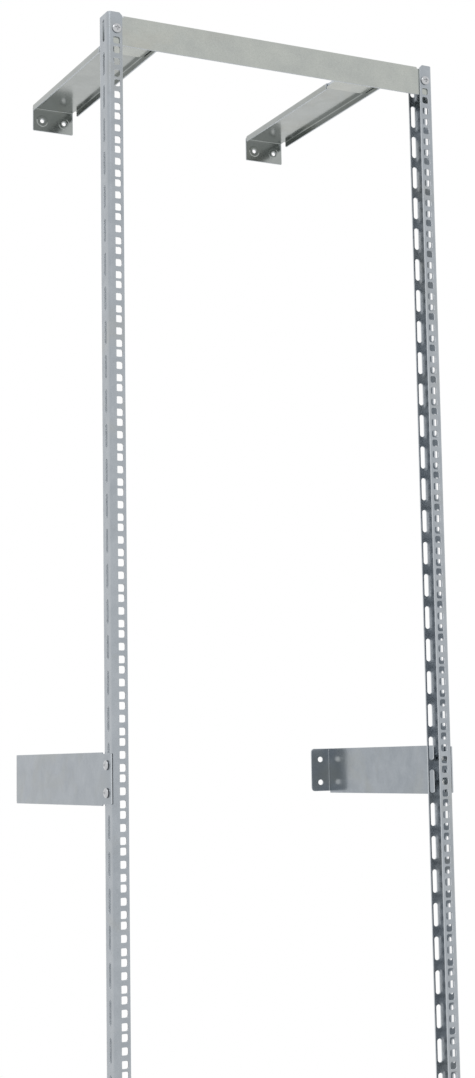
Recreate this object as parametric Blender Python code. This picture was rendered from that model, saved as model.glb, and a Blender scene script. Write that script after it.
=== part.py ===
"""Adjustable depth rack frame: two slotted 19 inch mounting rails held at a fixed width by a folded bar at
each end. Four arms slide in and out of the bars to set the depth, and two side brackets slide up and down
the rails' outer slots. Metres, +Z up. The rack opens to the front, which faces -Y.

Pieces are drawn with x from the middle, y from the front faces of the rails and z from the rails' feet.
The empty frame_origin then moves all of them so that the world origin is under the middle of the part.
"""

import math

import bmesh
import bpy
from mathutils import Matrix, Vector

MM = 0.001

# Rack standard
RACK_UNIT = 44.45 * MM
UNIT_COUNT = 44
HOLE_STEP = 15.875 * MM
HOLE_COLUMNS_APART = 465.1 * MM
SQUARE_HOLE = 9.5 * MM

# Folded sheet and the gap left between faces that bear on each other
SHEET = 2.0 * MM
BEND_INSIDE = 1.0 * MM
SEAT_GAP = 0.3 * MM

# Rails
COLUMN_TO_WEB = 11.95 * MM
RAIL_DEPTH = 32.0 * MM
RAIL_FRONT_FLANGE = 20.0 * MM
RAIL_REAR_FLANGE = 20.5 * MM
RAIL_CHAMFER = 4.0 * MM
SLOT_LENGTH = 31.0 * MM
SLOT_WIDTH = 7.0 * MM
WEB_SLOT_SETBACK = 16.5 * MM
REAR_SLOT_INSET = 6.0 * MM

# Fasteners, all M6
SCREW_DIAMETER = 6.0 * MM
SCREW_LENGTH = 12.0 * MM
HEAD_DIAMETER = 12.7 * MM
HEAD_HEIGHT = 3.5 * MM
HEAD_RIM = 1.4 * MM
NUT_ACROSS_FLATS = 10.0 * MM
NUT_HEIGHT = 5.0 * MM
STUD_HEAD_DIAMETER = 9.0 * MM
STUD_LENGTH = 9.0 * MM

# End bars
BAR_HEIGHT = 41.0 * MM
BAR_END_GAP = 0.5 * MM
LIP_DEPTH = 12.0 * MM
LIP_END_GAP = 2.5 * MM
TONGUE_REACH = 130.0 * MM

# Depth arms
ARM_INSET = 58.05 * MM
ARM_WIDTH = 70.0 * MM
ARM_FLANGE = 10.0 * MM
ARM_FRONT = 50.0 * MM
LONG_FLANGE_FRONT = 62.0 * MM
SHORT_FLANGE_FRONT = 122.0 * MM
ARM_REACH = 397.0 * MM
TAB_RELIEF = 9.0 * MM
TAB_WIDTH = 62.0 * MM
TAB_DROP = 36.0 * MM
TAB_HOLE = 6.6 * MM
TAB_HOLES_APART = 34.0 * MM
TAB_HOLE_DROP = 20.5 * MM
STUD_SETBACK = 84.0 * MM
STUDS_APART = 32.0 * MM
DEPTH_TRAVEL = 43.0 * MM

# Side brackets
BRACKET_UNIT = 21
BRACKET_HEIGHT = 66.0 * MM
BRACKET_FRONT = 3.0 * MM
BRACKET_REACH = 355.0 * MM
BRACKET_FLANGE = 32.0 * MM
BRACKET_SCREWS_APART = 34.0 * MM
BRACKET_HOLE = 8.0 * MM
BRACKET_HOLE_INSET = 15.0 * MM
BRACKET_CORNER = 5.0 * MM
NECK_STEP = 1.75 * MM
NECK_GAP = 1.0 * MM
FOOT_NOTCH = 3.0 * MM

# How finely round forms are cut into flats
BEND_STEPS = 3
SLOT_SIDES = 8
ROUND_SIDES = 12
SCREW_SIDES = 12

# Worked out from the sizes above
HEIGHT = RACK_UNIT * UNIT_COUNT
BEND_OUTSIDE = BEND_INSIDE + SHEET
COLUMN = HOLE_COLUMNS_APART / 2
WEB_OUTER = COLUMN + COLUMN_TO_WEB
WEB_INNER = WEB_OUTER - SHEET
ARM_X = COLUMN - ARM_INSET
SHANK_HOLE = SCREW_DIAMETER + 2 * SEAT_GAP
SCREW_SEAT = HEAD_HEIGHT + SEAT_GAP
BRACKET_INNER = WEB_OUTER + SEAT_GAP
BRACKET_OUTER = BRACKET_INNER + SHEET
TONGUE_WIDTH = ARM_WIDTH - 2 * BEND_OUTSIDE
BAR_END = WEB_INNER - BEND_INSIDE - BAR_END_GAP
LIP_END = WEB_OUTER - max(RAIL_FRONT_FLANGE, RAIL_REAR_FLANGE) - LIP_END_GAP
BAR_SCREW_INSET = RACK_UNIT / 2
ORIGIN_SETBACK = (ARM_REACH - SCREW_SEAT) / 2
CUT = 5.0 * MM
SAME_PLACE = 0.001 * MM

# A screw in a slot can slide until it is the seat gap away from either end
SLOT_SLACK = (SLOT_LENGTH - SCREW_DIAMETER) / 2 - SEAT_GAP


def clear_scene():
    for thing in list(bpy.data.objects):
        bpy.data.objects.remove(thing, do_unlink=True)


def zinc(name, colour, roughness):
    """A bright zinc plated steel."""
    material = bpy.data.materials.new(name)
    material.use_nodes = True
    shader = material.node_tree.nodes["Principled BSDF"]
    shader.inputs["Base Color"].default_value = (*colour, 1.0)
    shader.inputs["Metallic"].default_value = 1.0
    shader.inputs["Roughness"].default_value = roughness
    return material


# Outlines, as lists of (u, v) points

def offset_path(path, distance):
    """The path moved sideways to its left, its corners kept sharp."""
    corners = [Vector(point) for point in path]
    normals = []
    for here, there in zip(corners, corners[1:]):
        along = (there - here).normalized()
        normals.append(Vector((-along.y, along.x)))
    moved = [corners[0] + normals[0] * distance]
    for corner, before, after in zip(corners[1:], normals, normals[1:]):
        moved.append(corner + (before + after) * distance / (1 + before.dot(after)))
    moved.append(corners[-1] + normals[-1] * distance)
    return moved


def rounded_path(path, radius):
    """The path with each of its inner corners turned into an arc."""
    corners = [Vector(point) for point in path]
    points = [corners[0]]
    for before, corner, after in zip(corners, corners[1:], corners[2:]):
        arriving = (corner - before).normalized()
        leaving = (after - corner).normalized()
        turn = math.atan2(arriving.x * leaving.y - arriving.y * leaving.x, arriving.dot(leaving))
        tangent = corner - arriving * radius * math.tan(abs(turn) / 2)
        centre = corner + (leaving - arriving) * radius / math.sin(abs(turn))
        for step in range(BEND_STEPS + 1):
            points.append(centre + Matrix.Rotation(turn * step / BEND_STEPS, 2) @ (tangent - centre))
    points.append(corners[-1])
    return points


def folded(path):
    """Outline of a folded sheet. The path is its outer face, with the sheet to the left of it."""
    inner = rounded_path(offset_path(path, SHEET), BEND_INSIDE)
    return rounded_path(path, BEND_OUTSIDE) + inner[::-1]


def mirrored(outline, side):
    return [(side * u, v) for u, v in outline]


def rectangle(low_u, low_v, high_u, high_v):
    return [(low_u, low_v), (high_u, low_v), (high_u, high_v), (low_u, high_v)]


def hole(u, v, diameter, sides=ROUND_SIDES, stretch=(0.0, 0.0)):
    """A round hole whose flats touch the circle, pulled into a slot by a stretch along u or v."""
    radius = diameter / 2 / math.cos(math.pi / sides)
    points = []
    for index in range(sides):
        angle = 2 * math.pi * (index + 0.5) / sides
        points.append(
            (
                u + radius * math.cos(angle) + math.copysign(stretch[0] / 2, math.cos(angle)),
                v + radius * math.sin(angle) + math.copysign(stretch[1] / 2, math.sin(angle)),
            )
        )
    return points


def outer_corner(u, v, towards_u, towards_v, radius):
    """What is cut off a square corner at (u, v) to round it. The sheet lies towards the two signs."""
    outside = (u - towards_u * CUT, v - towards_v * CUT)
    arc = rounded_path([(u, v + towards_v * radius), (u, v), (u + towards_u * radius, v)], radius)
    return [outside, (outside[0], arc[0][1]), *arc, (arc[-1][0], outside[1])]


# Solids

AXES = {
    "X": lambda u, v, w: (w, u, v),
    "Y": lambda u, v, w: (u, w, v),
    "Z": lambda u, v, w: (u, v, w),
}


def sweep(shape, outline, axis, start, end):
    """Adds the solid that the outline makes when it is drawn out from start to end along an axis."""
    place = AXES[axis]
    near = [shape.verts.new(place(u, v, start)) for u, v in outline]
    far = [shape.verts.new(place(u, v, end)) for u, v in outline]
    shape.faces.new(near)
    shape.faces.new(far)
    for index in range(len(outline)):
        shape.faces.new((near[index - 1], near[index], far[index], far[index - 1]))


def finished(shape, name):
    bmesh.ops.recalc_face_normals(shape, faces=shape.faces)
    mesh = bpy.data.meshes.new(name)
    shape.to_mesh(mesh)
    shape.free()
    return mesh


def swept_mesh(name, sweeps):
    shape = bmesh.new()
    for outline, axis, start, end in sweeps:
        sweep(shape, outline, axis, start, end)
    return finished(shape, name)


def turned_mesh(name, profile, sides):
    """A profile of (radius, height) points, from axis to axis, turned about Z."""
    shape = bmesh.new()
    points = [shape.verts.new((radius, 0, height)) for radius, height in profile]
    edges = [shape.edges.new(pair) for pair in zip(points, points[1:])]
    bmesh.ops.spin(
        shape,
        geom=points + edges,
        cent=(0, 0, 0),
        axis=(0, 0, 1),
        angle=2 * math.pi,
        steps=sides,
        use_merge=True,
    )
    bmesh.ops.remove_doubles(shape, verts=shape.verts, dist=0.001 * MM)
    mesh = finished(shape, name)
    mesh.shade_smooth()
    mesh.set_sharp_from_angle(angle=math.radians(40))
    return mesh


def add_piece(name, mesh, material, parent, location=(0, 0, 0), turn=None):
    piece = bpy.data.objects.new(name, mesh)
    bpy.context.scene.collection.objects.link(piece)
    if not mesh.materials:
        mesh.materials.append(material)
    piece.parent = parent
    piece.location = location
    if turn:
        piece.rotation_euler = turn
    return piece


def add_empty(name, parent, location):
    empty = bpy.data.objects.new(name, None)
    bpy.context.scene.collection.objects.link(empty)
    empty.empty_display_size = SQUARE_HOLE
    empty.parent = parent
    empty.location = location
    return empty


def shape_with(piece, operation, sweeps, crossing=False):
    """Cuts the sweeps out of a piece, or joins them to it. Crossing sweeps run into each other."""
    tool = bpy.data.objects.new(
        f"{piece.name}_{operation.lower()}", swept_mesh(f"{piece.name}_{operation.lower()}", sweeps)
    )
    bpy.context.scene.collection.objects.link(tool)
    tool.parent = piece
    tool.hide_render = True
    tool.display_type = "WIRE"
    boolean = piece.modifiers.new(operation.title(), "BOOLEAN")
    boolean.operation = operation
    boolean.solver = "EXACT"
    boolean.use_self = crossing
    boolean.object = tool


# Rails

def unit_heights():
    """The middle of each rack unit, from the top one down."""
    return [HEIGHT - (index + 0.5) * RACK_UNIT for index in range(UNIT_COUNT)]


def square_hole_heights():
    """Three holes a unit, but not the hole that would be nearest to each end of the rail."""
    heights = []
    for middle in unit_heights():
        heights += [middle + HOLE_STEP, middle, middle - HOLE_STEP]
    return heights[1:-1]


def rail_cuts(side):
    through_front = ("Y", -CUT, SHEET + CUT)
    through_rear = ("Y", RAIL_DEPTH - SHEET - CUT, RAIL_DEPTH + CUT)
    through_web = ("X", side * (WEB_INNER - CUT), side * (WEB_OUTER + CUT))
    half = SQUARE_HOLE / 2
    rear_slot = WEB_OUTER - RAIL_REAR_FLANGE + REAR_SLOT_INSET
    stretch = (0.0, SLOT_LENGTH - SLOT_WIDTH)
    cuts = []
    for height in square_hole_heights():
        outline = rectangle(COLUMN - half, height - half, COLUMN + half, height + half)
        cuts.append((mirrored(outline, side), *through_front))
    for height in unit_heights():
        slot = hole(rear_slot, height, SLOT_WIDTH, SLOT_SIDES, stretch)
        cuts.append((mirrored(slot, side), *through_rear))
        cuts.append((hole(WEB_SLOT_SETBACK, height, SLOT_WIDTH, SLOT_SIDES, stretch), *through_web))
    edge = WEB_OUTER - RAIL_FRONT_FLANGE
    for end, inward in ((0.0, 1), (HEIGHT, -1)):
        corner = [
            (edge - CUT, end - inward * CUT),
            (edge + RAIL_CHAMFER + CUT, end - inward * CUT),
            (edge - CUT, end + inward * (RAIL_CHAMFER + CUT)),
        ]
        cuts.append((mirrored(corner, side), *through_front))
    return cuts


def add_rail(name, side, material, parent):
    """A C section with square holes in front, and one slot a unit in its web and in its rear flange."""
    path = [
        (WEB_OUTER - RAIL_FRONT_FLANGE, 0.0),
        (WEB_OUTER, 0.0),
        (WEB_OUTER, RAIL_DEPTH),
        (WEB_OUTER - RAIL_REAR_FLANGE, RAIL_DEPTH),
    ]
    mesh = swept_mesh(name, [(mirrored(folded(path), side), "Z", 0.0, HEIGHT)])
    rail = add_piece(name, mesh, material, parent)
    shape_with(rail, "DIFFERENCE", rail_cuts(side))


# End bars. Their z runs into the rack from the rails' ends: down at the top, up at the bottom

def bar_cuts(inward):
    """Leaves a lip along the bar, a tongue for each arm, and bare plate where the bar is inside the rails."""
    face = SHEET + SEAT_GAP
    fold = (face - CUT, face + BEND_OUTSIDE)
    level = ("Z", inward * fold[0], inward * fold[1])
    lip_back = face + LIP_DEPTH
    beyond = TONGUE_REACH + CUT
    tongue_in = ARM_X - TONGUE_WIDTH / 2
    tongue_out = ARM_X + TONGUE_WIDTH / 2
    cuts = [(rectangle(-tongue_in, lip_back, tongue_in, beyond), *level)]
    slot_middle = STUD_SETBACK - DEPTH_TRAVEL / 2
    for side in (-1, 1):
        outside = [(tongue_out, lip_back), (LIP_END, lip_back), (LIP_END, face - CUT)]
        outside += [(BAR_END + CUT, face - CUT), (BAR_END + CUT, beyond), (tongue_out, beyond)]
        cuts.append((mirrored(outside, side), *level))
        for across in (-STUDS_APART / 2, STUDS_APART / 2):
            slot = hole(ARM_X + across, slot_middle, SHANK_HOLE, SLOT_SIDES, (0.0, DEPTH_TRAVEL))
            cuts.append((mirrored(slot, side), *level))
        screw_hole = hole(side * COLUMN, inward * BAR_SCREW_INSET, SHANK_HOLE)
        cuts.append((screw_hole, "Y", face - CUT, face + SHEET + CUT))
    return cuts


def add_bar(name, inward, end, material, parent):
    """A folded bar behind the rails' front flanges, screwed through each rail's second square hole."""
    face = SHEET + SEAT_GAP
    path = [(TONGUE_REACH, inward * face), (face, inward * face), (face, inward * (face + BAR_HEIGHT))]
    if inward < 0:
        outline = folded(path)
    else:
        outline = folded(path[::-1])
    mesh = swept_mesh(name, [(outline, "X", -BAR_END, BAR_END)])
    bar = add_piece(name, mesh, material, parent, (0, 0, end))
    shape_with(bar, "DIFFERENCE", bar_cuts(inward))


# Depth arms. Their x runs from the arm's middle line, and their z as the bars' does

def arm_mesh(name, inward):
    """The middle surface of the arm: a strap that ends in the tab, with a folded edge along each side.

    One folded edge starts further back than the other. A bottom arm is a top arm rolled over.
    """
    level = inward * SHEET / 2
    radius = BEND_INSIDE + SHEET / 2
    tab = TAB_WIDTH / 2
    flange_rear = ARM_REACH - TAB_RELIEF - BEND_OUTSIDE
    tab_y = ARM_REACH - SHEET / 2
    tab_fold = [(flange_rear, level), (tab_y, level), (tab_y, inward * TAB_DROP)]
    stations = (LONG_FLANGE_FRONT, SHORT_FLANGE_FRONT, flange_rear)
    strap = [(ARM_FRONT, level), *((y, level) for y in stations[:2]), *rounded_path(tab_fold, radius)]
    edge = (ARM_WIDTH - SHEET) / 2
    flange = rounded_path([(tab, level), (edge, level), (edge, inward * ARM_FLANGE)], radius)
    quads = []
    for near, far in zip(strap, strap[1:]):
        quads.append([(-tab, *near), (tab, *near), (tab, *far), (-tab, *far)])
    for side, fronts in ((inward, stations[1:]), (-inward, stations)):
        for front, rear in zip(fronts, fronts[1:]):
            for (near, low), (far, high) in zip(flange, flange[1:]):
                near, far = side * near, side * far
                quads.append([(near, front, low), (far, front, high), (far, rear, high), (near, rear, low)])
    shape = bmesh.new()
    for quad in quads:
        shape.faces.new([shape.verts.new(corner) for corner in quad])
    bmesh.ops.remove_doubles(shape, verts=shape.verts, dist=SAME_PLACE)
    return finished(shape, name)


def add_arm(name, inward, material, slide):
    """A shallow channel under a flat end that lies on the bar's tongue, and a tab turned in at the rear."""
    arm = add_piece(name, arm_mesh(name, inward), material, slide)
    thicken = arm.modifiers.new("Sheet", "SOLIDIFY")
    thicken.solidify_mode = "NON_MANIFOLD"
    thicken.nonmanifold_thickness_mode = "CONSTRAINTS"
    thicken.thickness = SHEET
    thicken.offset = 0.0
    cuts = []
    for side in (-1, 1):
        tab_hole = hole(side * TAB_HOLES_APART / 2, inward * TAB_HOLE_DROP, TAB_HOLE)
        cuts.append((tab_hole, "Y", ARM_REACH - SHEET - CUT, ARM_REACH + CUT))
        stud_hole = hole(side * STUDS_APART / 2, STUD_SETBACK, STUD_HEAD_DIAMETER + 2 * SEAT_GAP)
        cuts.append((stud_hole, "Z", -SHEET - CUT, SHEET + CUT))
    shape_with(arm, "DIFFERENCE", cuts)


def add_arm_fixings(end_name, side_name, inward, meshes, material, slide):
    """Two studs set flush in the arm reach through the tongue's slots, and a nut on each clamps the arm."""
    turn = None if inward > 0 else (math.pi, 0, 0)
    nut_level = inward * (2 * SHEET + 2 * SEAT_GAP)
    for number, across in ((1, -STUDS_APART / 2), (2, STUDS_APART / 2)):
        label = f"{end_name}_{side_name}_{number}"
        add_piece(
            f"arm_stud_{label}", meshes["stud"], material, slide, (across, STUD_SETBACK, 0), turn
        )
        add_piece(
            f"arm_nut_{label}", meshes["nut"], material, slide, (across, STUD_SETBACK, nut_level), turn
        )


# Side brackets. Their z runs from the middle between their two screws

def bracket_cuts(side):
    through_plate = ("X", side * (BRACKET_INNER - CUT), side * (BRACKET_OUTER + CUT))
    through_flange = ("Y", BRACKET_REACH - SHEET - CUT, BRACKET_REACH + CUT)
    half = BRACKET_HEIGHT / 2
    neck = half - NECK_STEP
    neck_rear = RAIL_DEPTH + NECK_GAP
    free_edge = BRACKET_OUTER - BRACKET_FLANGE
    hole_x = free_edge + BRACKET_HOLE_INSET
    cuts = []
    for up in (-1, 1):
        strip = rectangle(BRACKET_FRONT - CUT, up * neck, neck_rear, up * (half + CUT))
        cuts.append((strip, *through_plate))
        front = outer_corner(BRACKET_FRONT, up * neck, 1, -up, NECK_STEP)
        cuts.append((front, *through_plate))
        screw_hole = hole(WEB_SLOT_SETBACK, up * BRACKET_SCREWS_APART / 2, SHANK_HOLE)
        cuts.append((screw_hole, *through_plate))
        fixing = hole(hole_x, up * BRACKET_SCREWS_APART / 2, BRACKET_HOLE)
        cuts.append((mirrored(fixing, side), *through_flange))
        level = half if up > 0 else FOOT_NOTCH - half
        corner = outer_corner(free_edge, level, 1, -up, BRACKET_CORNER)
        cuts.append((mirrored(corner, side), *through_flange))
    notch = rectangle(free_edge - CUT, -half - CUT, BRACKET_OUTER + CUT, FOOT_NOTCH - half)
    cuts.append((mirrored(notch, side), "Y", BRACKET_REACH - BEND_OUTSIDE, BRACKET_REACH + CUT))
    return cuts


def add_bracket(name, side, material, slide):
    """A side plate on the outside of the rail's web, with its rear edge turned in."""
    half = BRACKET_HEIGHT / 2
    path = [
        (BRACKET_OUTER, BRACKET_FRONT),
        (BRACKET_OUTER, BRACKET_REACH),
        (BRACKET_OUTER - BRACKET_FLANGE, BRACKET_REACH),
    ]
    outline = mirrored(folded(path), side)
    bracket = add_piece(name, swept_mesh(name, [(outline, "Z", -half, half)]), material, slide)
    shape_with(bracket, "DIFFERENCE", bracket_cuts(side), crossing=True)


# Fasteners. Their z runs out through the head

def screw_mesh():
    """An M6 pan head screw, its head's bearing face at z 0."""
    shank = SCREW_DIAMETER / 2
    head = HEAD_DIAMETER / 2
    profile = [
        (0.0, -SCREW_LENGTH),
        (shank, -SCREW_LENGTH),
        (shank, 0.0),
        (head, 0.0),
        (head, HEAD_RIM),
        (head * math.cos(math.radians(45)), HEAD_HEIGHT - (HEAD_HEIGHT - HEAD_RIM) / 4),
        (0.0, HEAD_HEIGHT),
    ]
    return turned_mesh("pan_head_screw", profile, SCREW_SIDES)


def stud_mesh():
    """An M6 stud whose head lies flush in the sheet, from its flush face at z 0 along +Z."""
    shank = SCREW_DIAMETER / 2
    head = STUD_HEAD_DIAMETER / 2
    profile = [
        (0.0, 0.0),
        (head, 0.0),
        (head, SHEET),
        (shank, SHEET),
        (shank, SHEET + STUD_LENGTH),
        (0.0, SHEET + STUD_LENGTH),
    ]
    return turned_mesh("flush_stud", profile, SCREW_SIDES)


def nut_mesh():
    """An M6 hexagon nut standing on z 0."""
    shape = bmesh.new()
    edges = []
    corner_radius = NUT_ACROSS_FLATS / math.sqrt(3)
    hexagon = [(corner_radius * math.cos(a), corner_radius * math.sin(a)) for a in sixths()]
    for outline in (hexagon, hole(0.0, 0.0, SHANK_HOLE, SLOT_SIDES)):
        points = [shape.verts.new((x, y, 0.0)) for x, y in outline]
        edges += [shape.edges.new((points[index - 1], points[index])) for index in range(len(points))]
    ring = bmesh.ops.triangle_fill(shape, edges=edges, use_beauty=True)
    faces = [item for item in ring["geom"] if isinstance(item, bmesh.types.BMFace)]
    raised = bmesh.ops.extrude_face_region(shape, geom=faces)
    top = [item for item in raised["geom"] if isinstance(item, bmesh.types.BMVert)]
    bmesh.ops.translate(shape, verts=top, vec=(0.0, 0.0, NUT_HEIGHT))
    return finished(shape, "hexagon_nut")


def sixths():
    return [math.pi * index / 3 for index in range(6)]


def add_bar_fixings(end_name, inward, end, meshes, materials, parent):
    level = end + inward * BAR_SCREW_INSET
    head_turn = (math.pi / 2, 0, 0)
    for side_name, side in SIDES:
        head = (side * COLUMN, -SEAT_GAP, level)
        nut = (side * COLUMN, 2 * SHEET + 2 * SEAT_GAP + NUT_HEIGHT, level)
        label = f"{end_name}_{side_name}"
        add_piece(f"bar_screw_{label}", meshes["screw"], materials["screw"], parent, head, head_turn)
        add_piece(f"bar_nut_{label}", meshes["nut"], materials["nut"], parent, nut, head_turn)


def add_bracket_fixings(side_name, side, meshes, materials, slide):
    turn = (0, side * math.pi / 2, 0)
    for level_name, up in (("upper", 1), ("lower", -1)):
        height = up * BRACKET_SCREWS_APART / 2
        head = (side * (BRACKET_OUTER + SEAT_GAP), WEB_SLOT_SETBACK, height)
        nut = (side * (WEB_INNER - SEAT_GAP - NUT_HEIGHT), WEB_SLOT_SETBACK, height)
        label = f"{side_name}_{level_name}"
        add_piece(f"bracket_screw_{label}", meshes["screw"], materials["screw"], slide, head, turn)
        add_piece(f"bracket_nut_{label}", meshes["nut"], materials["nut"], slide, nut, turn)


# The whole frame. Each end has a height and the direction that leads from it into the rack

SIDES = (("left", -1), ("right", 1))
ENDS = (("top", HEIGHT, -1), ("bottom", 0.0, 1))


def main():
    clear_scene()
    materials = {
        "rail": zinc("zinc_rail", (0.50, 0.54, 0.58), 0.30),
        "bar": zinc("zinc_bar", (0.56, 0.59, 0.61), 0.34),
        "arm": zinc("zinc_arm", (0.55, 0.58, 0.58), 0.30),
        "bracket": zinc("zinc_bracket", (0.55, 0.58, 0.60), 0.26),
        "screw": zinc("zinc_screw", (0.72, 0.74, 0.76), 0.18),
        "nut": zinc("zinc_nut", (0.62, 0.64, 0.66), 0.28),
    }
    meshes = {"screw": screw_mesh(), "stud": stud_mesh(), "nut": nut_mesh()}
    origin = add_empty("frame_origin", None, (0, -ORIGIN_SETBACK, 0))
    for side_name, side in SIDES:
        add_rail(f"rail_{side_name}", side, materials["rail"], origin)
        rest = unit_heights()[BRACKET_UNIT] - SLOT_SLACK - BRACKET_SCREWS_APART / 2
        slide = add_empty(f"bracket_slide_{side_name}", origin, (0, 0, rest))
        add_bracket(f"bracket_{side_name}", side, materials["bracket"], slide)
        add_bracket_fixings(side_name, side, meshes, materials, slide)
    for end_name, end, inward in ENDS:
        add_bar(f"bar_{end_name}", inward, end, materials["bar"], origin)
        add_bar_fixings(end_name, inward, end, meshes, materials, origin)
        for side_name, side in SIDES:
            slide = add_empty(f"arm_slide_{end_name}_{side_name}", origin, (side * ARM_X, 0, end))
            add_arm(f"arm_{end_name}_{side_name}", inward, materials["arm"], slide)
            add_arm_fixings(end_name, side_name, inward, meshes, materials["nut"], slide)


main()
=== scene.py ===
"""Looks of the adjustable depth rack frame: bright zinc plated sheet under soft studio light."""

import math

import bpy
from mathutils import Euler, Matrix, Vector
from mathutils.geometry import delaunay_2d_cdt


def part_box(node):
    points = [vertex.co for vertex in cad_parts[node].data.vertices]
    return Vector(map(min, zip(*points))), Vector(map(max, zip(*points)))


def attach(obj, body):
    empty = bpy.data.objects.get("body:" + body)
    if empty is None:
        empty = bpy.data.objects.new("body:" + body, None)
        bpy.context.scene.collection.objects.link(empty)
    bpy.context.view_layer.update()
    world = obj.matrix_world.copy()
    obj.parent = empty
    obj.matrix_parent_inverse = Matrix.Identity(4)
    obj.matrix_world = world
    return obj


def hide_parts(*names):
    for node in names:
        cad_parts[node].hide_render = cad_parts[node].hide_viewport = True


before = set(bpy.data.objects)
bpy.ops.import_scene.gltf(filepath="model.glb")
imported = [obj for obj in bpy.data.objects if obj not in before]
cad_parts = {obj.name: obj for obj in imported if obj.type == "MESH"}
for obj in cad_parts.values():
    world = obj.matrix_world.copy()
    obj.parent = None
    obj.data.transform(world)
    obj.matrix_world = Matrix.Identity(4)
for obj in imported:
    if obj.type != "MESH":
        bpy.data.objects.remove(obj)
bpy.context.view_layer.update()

# Sizes in millimetres, with y back from the rails' front faces and z up from the floor
MM = 0.001
SETBACK = 196.6
RACK_UNIT = 44.45
UNIT_COUNT = 44
HEIGHT = RACK_UNIT * UNIT_COUNT
HOLE_STEP = 15.875
COLUMN = 232.55
SHEET = 2.0
BEND_OUTSIDE = 3.0
BEND_STEPS = 8
RAIL_BENDS = (5.0, 4.0)
EASE_ANGLE = math.radians(5.0)
EASE_REACH = 4.0
EDGE = 0.25
MERGE_DISTANCE = 1e-6

WEB_OUTER = 244.5
RAIL_DEPTH = 32.0
RAIL_FRONT_FLANGE = 20.0
RAIL_REAR_FLANGE = 20.5
RAIL_CHAMFER = 4.0
SQUARE_HOLE = 9.5
SQUARE_CORNER = 2.6
SLOT_LENGTH = 31.0
SLOT_WIDTH = 7.0
SLOT_SETBACK = 16.5
SLOT_SIDES = 20
REAR_SLOT_INSET = 6.0

BAR_FACE = 2.3
BAR_HEIGHT = 41.0
BAR_END = 241.0
LIP_DEPTH = 12.0
LIP_END = 221.5
TONGUE_REACH = 130.0
TONGUE_WIDTH = 64.0
BAR_SCREW_INSET = 22.225

ARM_X = 174.5
ARM_WIDTH = 70.0
ARM_FLANGE = 10.0
ARM_FRONT = 50.0
LONG_FLANGE_FRONT = 62.0
SHORT_FLANGE_FRONT = 122.0
ARM_FLANGE_REAR = 385.0
ARM_REACH = 397.0
TAB_WIDTH = 62.0
TAB_DROP = 36.0
TAB_HOLE = 6.0
TAB_RIM = 9.0
TAB_DISH = 17.0
TAB_RINGS = (8.8, 9.2, 14.6, 15.4, 16.8, 17.6)
RING_SIDES = 36
DISH_DEPTH = 0.5
DISH_RAMP = 1.0
RIM_DEPTH = 0.9
SLOPE_PROBE = 0.05
TAB_HOLES_APART = 34.0
TAB_HOLE_DROP = 20.5
STUD_SETBACK = 84.0
STUDS_APART = 32.0
DEPTH_TRAVEL = 43.0
TURNED_SIDES = 48
THREAD_CREST = 3.0
THREAD_ROOT = 2.55
THREAD_PITCH = 1.0
TIP_RADIUS = 2.0
TIP_LENGTH = 0.4
SCREW_LENGTH = 12.0
HEAD_RADIUS = 6.35
HEAD_RIM = 1.0
HEAD_EASE = 0.3
HEAD_HEIGHT = 3.5
CROSS_REACH = 3.3
CROSS_HALF_WIDTH = 0.62
CROSS_DEPTH = 1.9
NUT_RADIUS = 5.0
NUT_HEIGHT = 5.0
NUT_BORE = 3.3
NUT_CHAMFER = 4.75
BORE_EASE = 0.4
STUD_RADIUS = 4.5
STUD_EASE = 0.2
STUD_LENGTH = 9.0
SHANK_HOLE = 6.6
STUD_HOLE = 9.6

BRACKET_MIDDLE = 970.925
BRACKET_HEIGHT = 66.0
BRACKET_OUTER = 246.8
BRACKET_FRONT = 3.0
BRACKET_REACH = 355.0
BRACKET_FLANGE = 32.0
BRACKET_SCREWS_APART = 34.0
BRACKET_HOLE = 8.0
BRACKET_HOLE_INSET = 15.0
NECK_STEP = 1.75
NECK_REAR = 33.0
FOOT_NOTCH = 3.0

SIDES = (("left", -1), ("right", 1))
ENDS = (("top", HEIGHT, -1), ("bottom", 0.0, 1))


def at(x, y, z):
    return Vector((x * MM, (y - SETBACK) * MM, z * MM))


# Flat patterns: closed loops of points that run anticlockwise

def ring(x, y, diameter, sides=28, stretch=(0.0, 0.0)):
    """A round hole, or a slot with round ends where it is stretched along one axis."""
    points = []
    for index in range(sides):
        angle = 2 * math.pi * (index + 0.5) / sides
        across, up = math.cos(angle), math.sin(angle)
        points.append((
            x + across * diameter / 2 + math.copysign(stretch[0] / 2, across),
            y + up * diameter / 2 + math.copysign(stretch[1] / 2, up),
        ))
    return points


def rounded(loop, radii, steps=4):
    """The loop with an arc in place of each corner that has a radius."""
    points = []
    for index, corner in enumerate(loop):
        radius = radii.get(index, 0.0)
        if not radius:
            points.append(corner)
            continue
        here = Vector(corner)
        back = (Vector(loop[index - 1]) - here).normalized()
        ahead = (Vector(loop[(index + 1) % len(loop)]) - here).normalized()
        middle = here + (back + ahead) * radius
        for step in range(steps + 1):
            turn = math.pi / 2 * step / steps
            arm = -ahead * math.cos(turn) - back * math.sin(turn)
            points.append(tuple(middle + arm * radius))
    return points


def square(x, y, size, corner):
    half = size / 2
    loop = [(x - half, y - half), (x + half, y - half), (x + half, y + half), (x - half, y + half)]
    return rounded(loop, dict.fromkeys(range(4), corner), 3)


def inset(loop, distance):
    """Moves the loop to the left of its direction, square to each of its sides."""
    moved = []
    for index, point in enumerate(loop):
        here = Vector(point)
        before = (here - Vector(loop[index - 1])).normalized()
        after = (Vector(loop[(index + 1) % len(loop)]) - here).normalized()
        moved.append(here + miter(before, after) * distance)
    return moved


def miter(before, after):
    left_before = Vector((-before.y, before.x))
    left_after = Vector((-after.y, after.x))
    return (left_before + left_after) / (1.0 + left_before.dot(left_after))


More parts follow.
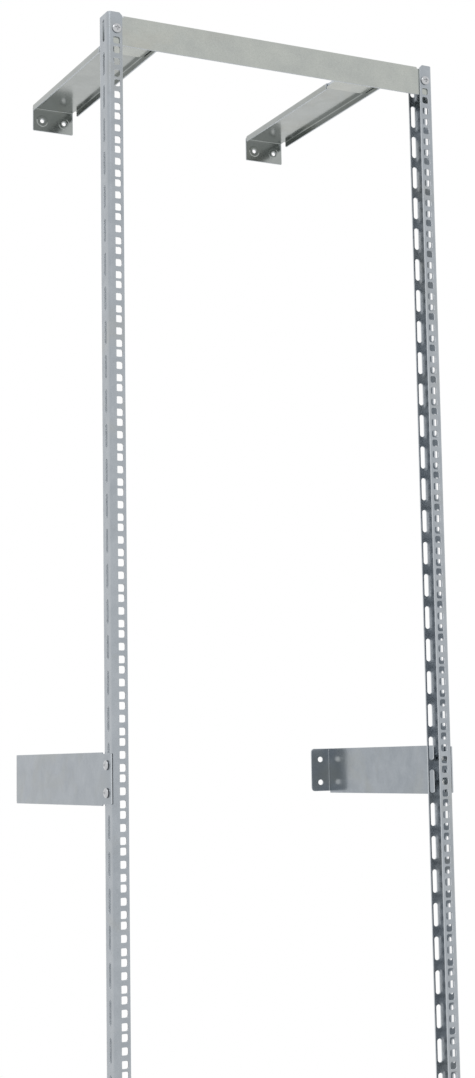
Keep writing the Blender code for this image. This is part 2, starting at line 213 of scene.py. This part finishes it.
def cut_pattern(loops, folds_u, folds_v, rings=()):
    """Triangles of the sheet inside the first loop and outside the others, split along each fold line."""
    points = []
    edges = []
    faces = []
    for loop in loops:
        corners = list(range(len(points), len(points) + len(loop)))
        faces.append(corners[::-1] if faces else corners)
        points += [Vector(point) for point in loop]
    low = Vector((min(p.x for p in points) - 1, min(p.y for p in points) - 1))
    high = Vector((max(p.x for p in points) + 1, max(p.y for p in points) + 1))
    for u in folds_u:
        edges.append((len(points), len(points) + 1))
        points += [Vector((u, low.y)), Vector((u, high.y))]
    for v in folds_v:
        edges.append((len(points), len(points) + 1))
        points += [Vector((low.x, v)), Vector((high.x, v))]
    for loop in rings:
        start = len(points)
        edges += [(start + index, start + (index + 1) % len(loop)) for index in range(len(loop))]
        points += [Vector(point) for point in loop]
    found = delaunay_2d_cdt(points, edges, faces, 0, MERGE_DISTANCE)
    kept = [face for face, sources in zip(found[2], found[5]) if sources == [0]]
    return found[0], kept


# Folded sections: each turns the distance along the sheet's outside into a place and a normal

def section(corners, bends=None):
    """Left turns only. The distance is measured from corner to corner, as if the bends were sharp."""
    path = [Vector(corner) for corner in corners]
    bends = bends or [BEND_OUTSIDE] * (len(path) - 2)
    ways = [(b - a).normalized() for a, b in zip(path, path[1:])]
    outs = [Vector((way.y, -way.x)) for way in ways]
    marks = [0.0]
    for a, b in zip(path, path[1:]):
        marks.append(marks[-1] + (b - a).length)

    def place(distance, depth):
        """The point, and the normal that it is shaded with: the flats lean a little next to a bend."""
        for index, radius in enumerate(bends, 1):
            past = distance - marks[index]
            before, after = outs[index - 1], outs[index]
            if abs(past) <= radius:
                part = (past + radius) / (2 * radius)
                turn = math.pi / 2 * part
                normal = before * math.cos(turn) + after * math.sin(turn)
                shade = EASE_ANGLE + (math.pi / 2 - 2 * EASE_ANGLE) * part
                middle = path[index] - (ways[index - 1] + before) * radius
                return middle + normal * (radius - depth), before * math.cos(shade) + after * math.sin(shade)
        index = max(k for k in range(len(ways)) if k == 0 or marks[k] <= distance)
        normal = outs[index]
        if index > 0:
            lean = max(0.0, 1.0 - (distance - marks[index] - bends[index - 1]) / EASE_REACH)
            normal = (normal + outs[index - 1] * math.tan(EASE_ANGLE * lean * lean)).normalized()
        if index < len(bends):
            lean = max(0.0, 1.0 - (marks[index + 1] - distance - bends[index]) / EASE_REACH)
            normal = (normal + outs[index + 1] * math.tan(EASE_ANGLE * lean * lean)).normalized()
        return path[index] + ways[index] * (distance - marks[index]) - outs[index] * depth, normal

    folds = []
    for mark, radius in zip(marks[1:-1], bends):
        folds += [mark + radius * (2 * step / BEND_STEPS - 1) for step in range(BEND_STEPS + 1)]
        for reach in (EASE_REACH / 2, EASE_REACH):
            folds += [mark - radius - reach, mark + radius + reach]
    return place, folds


# Meshes

def new_mesh(name, points, faces, normals, cut):
    """Faces carry their own corner normals, and cut edges of the sheet are marked for the material."""
    mesh = bpy.data.meshes.new(name)
    mesh.from_pydata(points, [], faces)
    mesh.shade_smooth()
    corner_normals = []
    for polygon, given in zip(mesh.polygons, normals):
        corner_normals += given or [polygon.normal.copy()] * len(polygon.vertices)
    mesh.normals_split_custom_set(corner_normals)
    marks = mesh.attributes.new("cut_edge", "FLOAT", "FACE")
    marks.data.foreach_set("value", cut)
    return mesh


def sheet_mesh(name, outline, holes, folds_u, folds_v, place, rings=()):
    """A sheet of even thickness with its edges broken. place(u, v, depth) gives a point and its normal."""
    loops = [inset(outline, EDGE)] + [inset(loop[::-1], EDGE) for loop in holes]
    flat, triangles = cut_pattern(loops, folds_u, folds_v, rings)
    used = sorted({index for face in triangles for index in face})
    number = {old: new for new, old in enumerate(used)}
    flat = [flat[index] for index in used]
    triangles = [tuple(number[index] for index in face) for face in triangles]
    count = len(flat)
    outer = [place(p.x, p.y, 0.0) for p in flat]
    inner = [place(p.x, p.y, SHEET) for p in flat]
    points = [p for p, _ in outer] + [p for p, _ in inner]
    a, b, c = triangles[0]
    facing = (points[b] - points[a]).cross(points[c] - points[a]).dot(outer[a][1])
    order = 1 if facing > 0 else -1
    faces = []
    normals = []
    for face in triangles:
        faces.append(face[::order])
        normals.append([outer[index][1] for index in faces[-1]])
        faces.append(tuple(index + count for index in face[::-order]))
        normals.append([-inner[index - count][1] for index in faces[-1]])
    cut = [0.0] * len(faces)
    sides = {(face[k - 1], face[k]) for face in triangles for k in range(3)}
    border = {start: end for start, end in sides if (end, start) not in sides}
    back = {end: start for start, end in border.items()}
    rims = {}
    for index in border:
        before = (flat[index] - flat[back[index]]).normalized()
        after = (flat[border[index]] - flat[index]).normalized()
        out = flat[index] - miter(before, after) * EDGE
        rims[index] = len(points)
        points += [place(out.x, out.y, EDGE)[0], place(out.x, out.y, SHEET - EDGE)[0]]
    for start, end in border.items():
        columns = [(index, rims[index], rims[index] + 1, index + count) for index in (start, end)]
        for level in range(3):
            quad = (columns[0][level], columns[0][level + 1], columns[1][level + 1], columns[1][level])
            faces.append(quad[::order])
            normals.append(None)
            cut.append(1.0)
    return new_mesh(name, points, faces, normals, cut)


def turned_normal(out, inward):
    """A normal of the arm's pattern in the frame: a bottom arm is a top arm rolled over."""
    return Vector((-inward * out[0], out[1], out[2])).normalized()


def turned_mesh(name, profile, shape, closed=False):
    """Rings round the z axis, one for each radius and height, and shape may move each of their points."""
    points = []
    for radius, height in profile:
        for index in range(TURNED_SIDES):
            angle = 2 * math.pi * index / TURNED_SIDES
            reach, level = shape(radius, height, angle)
            points.append((reach * math.cos(angle) * MM, reach * math.sin(angle) * MM, level * MM))
    faces = []
    rows = len(profile)
    for row in range(rows if closed else rows - 1):
        low = row * TURNED_SIDES
        high = (row + 1) % rows * TURNED_SIDES
        for index in range(TURNED_SIDES):
            ahead = (index + 1) % TURNED_SIDES
            faces.append((low + index, low + ahead, high + ahead, high + index))
    if not closed:
        faces.append(tuple(range(TURNED_SIDES))[::-1])
        faces.append(tuple(range((rows - 1) * TURNED_SIDES, rows * TURNED_SIDES)))
    mesh = bpy.data.meshes.new(name)
    mesh.from_pydata(points, [], faces)
    mesh.shade_smooth()
    mesh.set_sharp_from_angle(angle=math.radians(32))
    return mesh


# Materials

def link(tree, source, target):
    tree.links.new(source, target)


def node(tree, kind, **inputs):
    made = tree.nodes.new(kind)
    for name, value in inputs.items():
        made.inputs[name.replace("_", " ")].default_value = value
    return made


def ramp(tree, factor, stops):
    made = tree.nodes.new("ShaderNodeValToRGB")
    elements = made.color_ramp.elements
    while len(elements) < len(stops):
        elements.new(0.5)
    for element, (position, value) in zip(elements, stops):
        element.position = position
        element.color = (value, value, value, 1.0)
    link(tree, factor, made.inputs["Fac"])
    return made.outputs["Color"]


def noise(tree, coordinates, scale, detail, roughness, distortion=0.0):
    made = node(tree, "ShaderNodeTexNoise", Scale=scale, Detail=detail, Roughness=roughness)
    made.inputs["Distortion"].default_value = distortion
    link(tree, coordinates, made.inputs["Vector"])
    return made.outputs["Fac"]


def blend(tree, factor, first, second, kind="MIX"):
    made = tree.nodes.new("ShaderNodeMix")
    made.data_type = "RGBA"
    made.blend_type = kind
    for socket, value in (("Factor_Float", factor), ("A_Color", first), ("B_Color", second)):
        target = next(item for item in made.inputs if item.identifier == socket)
        if isinstance(value, bpy.types.NodeSocket):
            link(tree, value, target)
        else:
            target.default_value = (*value, 1.0) if isinstance(value, tuple) else value
    return next(item for item in made.outputs if item.identifier == "Result_Color")


def maths(tree, operation, first, second):
    made = tree.nodes.new("ShaderNodeMath")
    made.operation = operation
    for index, value in enumerate((first, second)):
        if isinstance(value, bpy.types.NodeSocket):
            link(tree, value, made.inputs[index])
        else:
            made.inputs[index].default_value = value
    return made.outputs[0]


def seen_rays(tree, path):
    """1 for the camera's rays and for reflected or refracted ones, 0 for soft light."""
    seen = maths(tree, "ADD", path.outputs["Is Camera Ray"], path.outputs["Is Glossy Ray"])
    seen = maths(tree, "ADD", seen, path.outputs["Is Transmission Ray"])
    return maths(tree, "MINIMUM", seen, 1.0)


def zinc(name, pale, deep, stain, rough, waviness):
    """Bright zinc plate: cloudy tone, faint stains, fine grain and the slight waves of folded sheet."""
    material = bpy.data.materials.new(name)
    material.use_nodes = True
    tree = material.node_tree
    shader = tree.nodes["Principled BSDF"]
    shader.inputs["Metallic"].default_value = 1.0
    place = tree.nodes.new("ShaderNodeTexCoord").outputs["Object"]
    clouds = noise(tree, place, scale=34.0, detail=4.0, roughness=0.6, distortion=0.4)
    clouds = ramp(tree, clouds, [(0.32, 0.0), (0.7, 1.0)])
    colour = blend(tree, clouds, deep, pale)
    stains = noise(tree, place, scale=9.0, detail=5.0, roughness=0.62, distortion=0.8)
    stains = ramp(tree, stains, [(0.52, 0.0), (0.78, 0.6)])
    colour = blend(tree, stains, colour, stain)
    flecks = noise(tree, place, scale=620.0, detail=2.0, roughness=0.6)
    flecks = ramp(tree, flecks, [(0.35, 0.93), (0.65, 1.0)])
    colour = blend(tree, 1.0, colour, flecks, "MULTIPLY")
    # Cut edges get a lighter colour, which is a painted highlight, and a higher roughness.
    mark = tree.nodes.new("ShaderNodeAttribute")
    mark.attribute_name = "cut_edge"
    colour = blend(tree, mark.outputs["Fac"], colour, CUT_EDGE_PAINTED_HIGHLIGHT)
    link(tree, colour, shader.inputs["Base Color"])
    rough_low, rough_high = rough
    sheen = noise(tree, place, scale=55.0, detail=4.0, roughness=0.65)
    sheen = ramp(tree, sheen, [(0.3, rough_low), (0.72, rough_high)])
    dull = blend(tree, mark.outputs["Fac"], sheen, CUT_ROUGHNESS)
    link(tree, dull, shader.inputs["Roughness"])
    waves = node(tree, "ShaderNodeBump", Strength=waviness, Distance=0.001)
    link(tree, noise(tree, place, scale=22.0, detail=1.0, roughness=0.4), waves.inputs["Height"])
    grain = node(tree, "ShaderNodeBump", Strength=0.1, Distance=0.00002)
    link(tree, noise(tree, place, scale=700.0, detail=2.0, roughness=0.5), grain.inputs["Height"])
    link(tree, waves.outputs["Normal"], grain.inputs["Normal"])
    link(tree, grain.outputs["Normal"], shader.inputs["Normal"])
    return material


# Cut edges: coloured lighter than the faces, a painted highlight for the light their rough, rounded walls
# catch; their higher roughness is real.
CUT_EDGE_PAINTED_HIGHLIGHT = (0.54, 0.57, 0.60)
CUT_ROUGHNESS = (0.4, 0.4, 0.4)
# Rail, bar, arm and bracket are one and the same zinc plate. Their different overall levels (bar lightest,
# brackets darkest) are painted light and shade, each standing for how much light that piece reflects. The
# cloudy tones and stains within each are the plate's own.
MATERIALS = {
    "rail": zinc(
        "zinc_rail", pale=(0.42, 0.45, 0.48), deep=(0.36, 0.39, 0.42), stain=(0.39, 0.39, 0.36),
        rough=(0.18, 0.28), waviness=0.1,
    ),
    "bar": zinc(
        "zinc_bar", pale=(0.48, 0.50, 0.47), deep=(0.43, 0.45, 0.43), stain=(0.46, 0.45, 0.40),
        rough=(0.2, 0.28), waviness=0.1,
    ),
    "arm": zinc(
        "zinc_arm", pale=(0.38, 0.40, 0.39), deep=(0.33, 0.35, 0.34), stain=(0.36, 0.36, 0.31),
        rough=(0.14, 0.2), waviness=0.05,
    ),
    "bracket": zinc(
        "zinc_bracket", pale=(0.36, 0.39, 0.42), deep=(0.30, 0.33, 0.36), stain=(0.34, 0.35, 0.32),
        rough=(0.15, 0.22), waviness=0.05,
    ),
    "screw": zinc(
        "bright_screw", pale=(0.60, 0.61, 0.62), deep=(0.50, 0.51, 0.53), stain=(0.48, 0.47, 0.43),
        rough=(0.07, 0.12), waviness=0.01,
    ),
    "nut": zinc(
        "zinc_nut", pale=(0.48, 0.50, 0.50), deep=(0.40, 0.42, 0.42), stain=(0.42, 0.41, 0.36),
        rough=(0.14, 0.22), waviness=0.01,
    ),
}


def add_piece(name, mesh, slot, body, cad_node):
    mesh.materials.append(MATERIALS[slot])
    piece = bpy.data.objects.new(name, mesh)
    bpy.context.collection.objects.link(piece)
    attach(piece, body)
    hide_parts(cad_node)


# Rails

def add_rail(side_name, side):
    edge = WEB_OUTER - RAIL_FRONT_FLANGE
    rear_edge = WEB_OUTER - RAIL_REAR_FLANGE
    corners = [(edge, 0.0), (WEB_OUTER, 0.0), (WEB_OUTER, RAIL_DEPTH), (rear_edge, RAIL_DEPTH)]
    path, folds = section(corners, RAIL_BENDS)

    def place(u, v, depth):
        point, normal = path(u, depth)
        return at(side * point.x, point.y, v), Vector((side * normal.x, normal.y, 0.0))

    width = RAIL_FRONT_FLANGE + RAIL_DEPTH + RAIL_REAR_FLANGE
    outline = [
        (0.0, RAIL_CHAMFER), (RAIL_CHAMFER, 0.0), (width, 0.0),
        (width, HEIGHT), (RAIL_CHAMFER, HEIGHT), (0.0, HEIGHT - RAIL_CHAMFER),
    ]
    middles = [HEIGHT - (index + 0.5) * RACK_UNIT for index in range(UNIT_COUNT)]
    levels = [middle + step for middle in middles for step in (HOLE_STEP, 0.0, -HOLE_STEP)][1:-1]
    holes = [square(COLUMN - edge, level, SQUARE_HOLE, SQUARE_CORNER) for level in levels]
    stretch = (0.0, SLOT_LENGTH - SLOT_WIDTH)
    web_slot = RAIL_FRONT_FLANGE + SLOT_SETBACK
    rear_slot = width - REAR_SLOT_INSET
    for middle in middles:
        holes.append(ring(web_slot, middle, SLOT_WIDTH, SLOT_SIDES, stretch))
        holes.append(ring(rear_slot, middle, SLOT_WIDTH, SLOT_SIDES, stretch))
    mesh = sheet_mesh(f"rail_{side_name}_sheet", outline, holes, folds, [], place)
    add_piece(f"rail_{side_name}_sheet", mesh, "rail", "frame", f"rail_{side_name}")


# End bars

def add_bar(end_name, end, inward):
    foot = BAR_FACE + BAR_HEIGHT
    path, folds = section([(TONGUE_REACH, -BAR_FACE), (BAR_FACE, -BAR_FACE), (BAR_FACE, -foot)])

    def place(u, v, depth):
        point, normal = path(u, depth)
        return at(v, point.x, end - inward * point.y), Vector((0.0, normal.x, -inward * normal.y))

    fold = TONGUE_REACH - BAR_FACE
    lip = fold - LIP_DEPTH
    bare = fold + BEND_OUTSIDE
    base = fold + BAR_HEIGHT
    near = ARM_X - TONGUE_WIDTH / 2
    far = ARM_X + TONGUE_WIDTH / 2
    half = [
        (base, BAR_END), (bare, BAR_END), (bare, LIP_END), (lip, LIP_END),
        (lip, far), (0.0, far), (0.0, near), (lip, near),
    ]
    other = [(u, -v) for u, v in reversed(half)]
    corners = {0: 1.5, 1: 1.0, 3: 1.5, 5: 4.0, 6: 4.0, 9: 4.0, 10: 4.0, 12: 1.5, 14: 1.0, 15: 1.5}
    outline = rounded(half + other, corners)
    holes = []
    for side in (-1, 1):
        for across in (-STUDS_APART / 2, STUDS_APART / 2):
            middle = TONGUE_REACH - STUD_SETBACK + DEPTH_TRAVEL / 2
            holes.append(ring(middle, side * ARM_X + across, SHANK_HOLE, SLOT_SIDES, (DEPTH_TRAVEL, 0.0)))
        holes.append(ring(fold + BAR_SCREW_INSET - BAR_FACE, side * COLUMN, SHANK_HOLE))
    mesh = sheet_mesh(f"bar_{end_name}_sheet", outline, holes, folds, [], place)
    add_piece(f"bar_{end_name}_sheet", mesh, "bar", "frame", f"bar_{end_name}")


# Depth arms

def dish(distance):
    """How far the tab is pressed forward, at this distance from the middle of one of its holes."""
    if distance >= TAB_DISH / 2:
        return 0.0
    rise = min(1.0, (TAB_DISH / 2 - distance) / DISH_RAMP) * DISH_DEPTH
    sink = max(0.0, min(1.0, (TAB_RIM / 2 - distance) / (TAB_RIM / 2 - TAB_HOLE / 2))) * RIM_DEPTH
    return rise - sink


def add_arm(end_name, end, inward, side_name, side):
    edge = ARM_WIDTH / 2
    across, side_folds = section([(edge, -ARM_FLANGE), (edge, 0.0), (-edge, 0.0), (-edge, -ARM_FLANGE)])
    along, tab_folds = section([(ARM_REACH, -TAB_DROP), (ARM_REACH, 0.0), (ARM_FRONT, 0.0)])
    reach = ARM_REACH + TAB_DROP
    width = ARM_WIDTH + 2 * ARM_FLANGE
    tab_holes = [(width / 2 + step * TAB_HOLES_APART / 2, TAB_DROP - TAB_HOLE_DROP) for step in (-1, 1)]

    def press(u, v):
        return max(dish(math.hypot(u - x, v - y)) for x, y in tab_holes)

    def place(u, v, depth):
        if v < TAB_DROP + BEND_OUTSIDE:
            point, normal = along(v, depth + press(u, v))
            x, y, z = edge + ARM_FLANGE - u, point.x, point.y
            slope_u = (press(u + SLOPE_PROBE, v) - press(u - SLOPE_PROBE, v)) / (2 * SLOPE_PROBE)
            slope_v = (press(u, v + SLOPE_PROBE) - press(u, v - SLOPE_PROBE)) / (2 * SLOPE_PROBE)
            out = (-slope_u, normal.x, -inward * (normal.y + slope_v))
        else:
            point, normal = across(u, depth)
            x, y, z = point.x, reach - v, point.y
            out = (normal.x, 0.0, -inward * normal.y)
        return at(side * ARM_X - inward * x, y, end - inward * z), turned_normal(out, inward)

    narrow = (width - TAB_WIDTH) / 2
    wide = width - narrow
    rear = reach - ARM_FLANGE_REAR
    long_front = reach - LONG_FLANGE_FRONT
    short_front = reach - SHORT_FLANGE_FRONT
    tip = reach - ARM_FRONT
    outline = [
        (narrow, 0.0), (wide, 0.0), (wide, rear), (width, rear), (width, short_front), (wide, short_front),
        (wide, tip), (narrow, tip), (narrow, long_front), (0.0, long_front), (0.0, rear), (narrow, rear),
    ]
    corners = {0: 1.5, 1: 1.5, 3: 2.0, 4: 1.5, 6: 4.0, 7: 4.0, 9: 1.5, 10: 2.0}
    outline = rounded(outline, corners)
    holes = [ring(x, y, TAB_HOLE) for x, y in tab_holes]
    holes += [ring(width / 2 + step * STUDS_APART / 2, reach - STUD_SETBACK, STUD_HOLE) for step in (-1, 1)]
    rings = [ring(x, y, size, RING_SIDES) for x, y in tab_holes for size in TAB_RINGS]
    label = f"arm_{end_name}_{side_name}"
    mesh = sheet_mesh(f"{label}_sheet", outline, holes, side_folds, tab_folds, place, rings)
    add_piece(f"{label}_sheet", mesh, "arm", f"{label}_slide", label)


# Side brackets

def add_bracket(side_name, side):
    inner = BRACKET_OUTER - BRACKET_FLANGE
    corners = [(BRACKET_OUTER, BRACKET_FRONT), (BRACKET_OUTER, BRACKET_REACH), (inner, BRACKET_REACH)]
    path, folds = section(corners)

    def place(u, v, depth):
        point, normal = path(u, depth)
        return at(side * point.x, point.y, BRACKET_MIDDLE + v), Vector((side * normal.x, normal.y, 0.0))

    half = BRACKET_HEIGHT / 2
    neck = half - NECK_STEP
    step = NECK_REAR - BRACKET_FRONT
    fold = BRACKET_REACH - BRACKET_FRONT
    width = fold + BRACKET_FLANGE
    foot = FOOT_NOTCH - half
    outline = [
        (0.0, -neck), (step, -neck), (step, -half), (fold - BEND_OUTSIDE, -half),
        (fold - BEND_OUTSIDE, foot), (width, foot), (width, half), (step, half), (step, neck), (0.0, neck),
    ]
    outline = rounded(outline, {0: 1.7, 2: 1.2, 3: 1.2, 5: 5.0, 6: 5.0, 7: 1.2, 9: 1.7})
    holes = []
    for up in (-1, 1):
        level = up * BRACKET_SCREWS_APART / 2
        holes.append(ring(SLOT_SETBACK - BRACKET_FRONT, level, SHANK_HOLE))
        holes.append(ring(width - BRACKET_HOLE_INSET, level, BRACKET_HOLE))
    label = f"bracket_{side_name}"
    mesh = sheet_mesh(f"{label}_sheet", outline, holes, folds, [], place)
    add_piece(f"{label}_sheet", mesh, "bracket", f"{label}_slide", label)


for side_name, side in SIDES:
    add_rail(side_name, side)
    add_bracket(side_name, side)
for end_name, end, inward in ENDS:
    add_bar(end_name, end, inward)
    for side_name, side in SIDES:
        add_arm(end_name, end, inward, side_name, side)


# Fasteners

def plain(radius, height, angle):
    return radius, height


def thread(start, end):
    """Crests and roots from start up to end."""
    steps = int(round((end - start) / THREAD_PITCH * 2))
    radii = (THREAD_ROOT, THREAD_CREST)
    return [(radii[step % 2], start + (end - start) * step / steps) for step in range(steps)]


def screw_mesh():
    """A pan head with a cross recess, on a threaded shank. Its bearing face is at height 0."""
    profile = [(TIP_RADIUS, -SCREW_LENGTH)] + thread(TIP_LENGTH - SCREW_LENGTH, 0.0)
    profile += [(THREAD_CREST, 0.0), (HEAD_RADIUS - HEAD_EASE, 0.0)]
    profile += [(HEAD_RADIUS, HEAD_EASE), (HEAD_RADIUS, HEAD_RIM)]
    radii = [HEAD_RADIUS * math.cos(math.radians(turn)) for turn in (12, 24, 36, 46, 54)]
    radii += [CROSS_REACH * part / 10 for part in range(11, 0, -1)]
    for radius in radii:
        rise = math.sqrt(1.0 - (radius / HEAD_RADIUS) ** 2)
        profile.append((radius, HEAD_RIM + (HEAD_HEIGHT - HEAD_RIM) * rise))

    def recess(radius, height, angle):
        across = min(abs(radius * math.cos(angle)), abs(radius * math.sin(angle)))
        if height > HEAD_RIM and radius < CROSS_REACH and across < CROSS_HALF_WIDTH:
            height -= CROSS_DEPTH * (1.0 - 0.6 * radius / CROSS_REACH)
        return radius, height

    return turned_mesh("pan_head_screw", profile, recess)


def nut_mesh():
    """A hexagon with its corners chamfered at both ends."""
    profile = [
        (NUT_BORE, BORE_EASE), (NUT_BORE + BORE_EASE, 0.0), (NUT_CHAMFER, 0.0), (NUT_RADIUS, 0.0),
        (NUT_RADIUS, NUT_HEIGHT), (NUT_CHAMFER, NUT_HEIGHT), (NUT_BORE + BORE_EASE, NUT_HEIGHT),
        (NUT_BORE, NUT_HEIGHT - BORE_EASE),
    ]

    def hexagon(radius, height, angle):
        if radius < NUT_RADIUS:
            return radius, height
        reach = radius / math.cos((angle + math.pi / 6) % (math.pi / 3) - math.pi / 6)
        drop = (reach - NUT_CHAMFER) * math.tan(math.radians(30))
        return reach, (height + drop if height < NUT_HEIGHT / 2 else height - drop)

    return turned_mesh("hexagon_nut", profile, hexagon, closed=True)


def stud_mesh():
    """A stud whose head lies flush in the sheet, from its flush face at height 0."""
    tip = SHEET + STUD_LENGTH
    profile = [(STUD_RADIUS - STUD_EASE, 0.0), (STUD_RADIUS, STUD_EASE), (STUD_RADIUS, SHEET)]
    profile += [(THREAD_CREST, SHEET)] + thread(SHEET, tip - TIP_LENGTH) + [(TIP_RADIUS, tip)]
    return turned_mesh("flush_stud", profile, plain)


def add_fastener(cad_node, mesh, body, start, way):
    """Stands on the end of its solid that lies against its way, where the mesh has the height start."""
    low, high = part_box(cad_node)
    way = Vector(way)
    half = sum(abs(part) * size / 2 for part, size in zip(way, high - low))
    foot = (low + high) / 2 - way * (half + start * MM)
    piece = bpy.data.objects.new(f"{cad_node}_detail", mesh)
    piece.matrix_world = Matrix.Translation(foot) @ way.to_track_quat("Z", "Y").to_matrix().to_4x4()
    bpy.context.collection.objects.link(piece)
    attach(piece, body)
    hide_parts(cad_node)


def add_fasteners():
    screw, nut, stud = screw_mesh(), nut_mesh(), stud_mesh()
    screw.materials.append(MATERIALS["screw"])
    nut.materials.append(MATERIALS["nut"])
    stud.materials.append(MATERIALS["nut"])
    for side_name, side in SIDES:
        for level in ("upper", "lower"):
            slide = f"bracket_{side_name}_slide"
            out = (side, 0, 0)
            add_fastener(f"bracket_screw_{side_name}_{level}", screw, slide, -SCREW_LENGTH, out)
            add_fastener(f"bracket_nut_{side_name}_{level}", nut, slide, 0.0, out)
        for end_name, _, inward in ENDS:
            label = f"{end_name}_{side_name}"
            add_fastener(f"bar_screw_{label}", screw, "frame", -SCREW_LENGTH, (0, -1, 0))
            add_fastener(f"bar_nut_{label}", nut, "frame", 0.0, (0, -1, 0))
            for number in (1, 2):
                into = (0, 0, inward)
                add_fastener(f"arm_stud_{label}_{number}", stud, f"arm_{label}_slide", 0.0, into)
                add_fastener(f"arm_nut_{label}_{number}", nut, f"arm_{label}_slide", 0.0, into)


add_fasteners()


# Camera

camera_data = bpy.data.cameras.new("camera")
camera_data.sensor_fit = "AUTO"
camera_data.sensor_width = 36.0
camera_data.lens = 64.794
camera_data.shift_x = -0.1038
camera_data.shift_y = -0.0362
camera_data.clip_end = 100.0
camera = bpy.data.objects.new("camera", camera_data)
camera.location = (-1.1466, -2.446, 0.9935)
camera.rotation_euler = Euler([math.radians(angle) for angle in (97.4874, 1.3338, -28.7273)])
bpy.context.collection.objects.link(camera)
bpy.context.scene.camera = camera


# Floor, in metres

FLOOR_RADIUS = 2.6
FLOOR_SIDES = 64
FLOOR_LEVEL = -0.0005
FLOOR_TONE = 0.82


def add_floor():
    """A pale round floor that camera and metal see nearly white, with the object's shadow left on it."""
    points = [(0.0, 0.0, FLOOR_LEVEL)]
    for index in range(FLOOR_SIDES):
        angle = 2 * math.pi * index / FLOOR_SIDES
        points.append((FLOOR_RADIUS * math.cos(angle), FLOOR_RADIUS * math.sin(angle), FLOOR_LEVEL))
    faces = [(0, index + 1, (index + 1) % FLOOR_SIDES + 1) for index in range(FLOOR_SIDES)]
    mesh = bpy.data.meshes.new("floor")
    mesh.from_pydata(points, [], faces)
    material = bpy.data.materials.new("pale_floor")
    material.use_nodes = True
    tree = material.node_tree
    tree.nodes.remove(tree.nodes["Principled BSDF"])
    output = tree.nodes["Material Output"]
    matt = node(tree, "ShaderNodeBsdfDiffuse", Color=(FLOOR_TONE, FLOOR_TONE, FLOOR_TONE, 1.0))
    white = node(tree, "ShaderNodeEmission", Strength=1.0)
    path = tree.nodes.new("ShaderNodeLightPath")
    mix = tree.nodes.new("ShaderNodeMixShader")
    measure = tree.nodes.new("ShaderNodeVectorMath")
    measure.operation = "LENGTH"
    link(tree, tree.nodes.new("ShaderNodeTexCoord").outputs["Object"], measure.inputs[0])
    whiteness = ramp(tree, measure.outputs["Value"], [(0.35, 0.55), (1.0, 1.0)])
    share = maths(tree, "MULTIPLY", seen_rays(tree, path), whiteness)
    link(tree, share, mix.inputs[0])
    link(tree, matt.outputs[0], mix.inputs[1])
    link(tree, white.outputs[0], mix.inputs[2])
    link(tree, mix.outputs[0], output.inputs["Surface"])
    mesh.materials.append(material)
    floor = bpy.data.objects.new("floor", mesh)
    bpy.context.collection.objects.link(floor)


add_floor()


# Studio: plain white all round for the camera and for what metal reflects, and even soft light

SOFT_LIGHT = 0.75
LAMP_PLACE = (-2.5, -2.5, 4.5)
LAMP_TARGET = (0.0, 0.0, 1.0)
LAMP_SIDE = 2.0
LAMP_POWER = 20.0


def add_world():
    world = bpy.data.worlds.new("studio")
    bpy.context.scene.world = world
    world.use_nodes = True
    tree = world.node_tree
    tree.nodes.clear()
    path = tree.nodes.new("ShaderNodeLightPath")
    light = blend(tree, seen_rays(tree, path), (SOFT_LIGHT, SOFT_LIGHT, SOFT_LIGHT), (1.0, 1.0, 1.0))
    background = tree.nodes.new("ShaderNodeBackground")
    background.inputs["Strength"].default_value = 1.0
    link(tree, light, background.inputs["Color"])
    output = tree.nodes.new("ShaderNodeOutputWorld")
    link(tree, background.outputs[0], output.inputs["Surface"])


add_world()


def add_lamp():
    """A soft square lamp in front on the left, above the object."""
    light = bpy.data.lights.new("key_panel", "AREA")
    light.shape = "SQUARE"
    light.size = LAMP_SIDE
    light.energy = LAMP_POWER
    lamp = bpy.data.objects.new("key_panel", light)
    lamp.location = LAMP_PLACE
    lamp.rotation_euler = (Vector(LAMP_TARGET) - Vector(LAMP_PLACE)).to_track_quat("-Z", "Y").to_euler()
    lamp.visible_camera = False
    bpy.context.collection.objects.link(lamp)


add_lamp()

bpy.context.scene.view_settings.view_transform = "Standard"
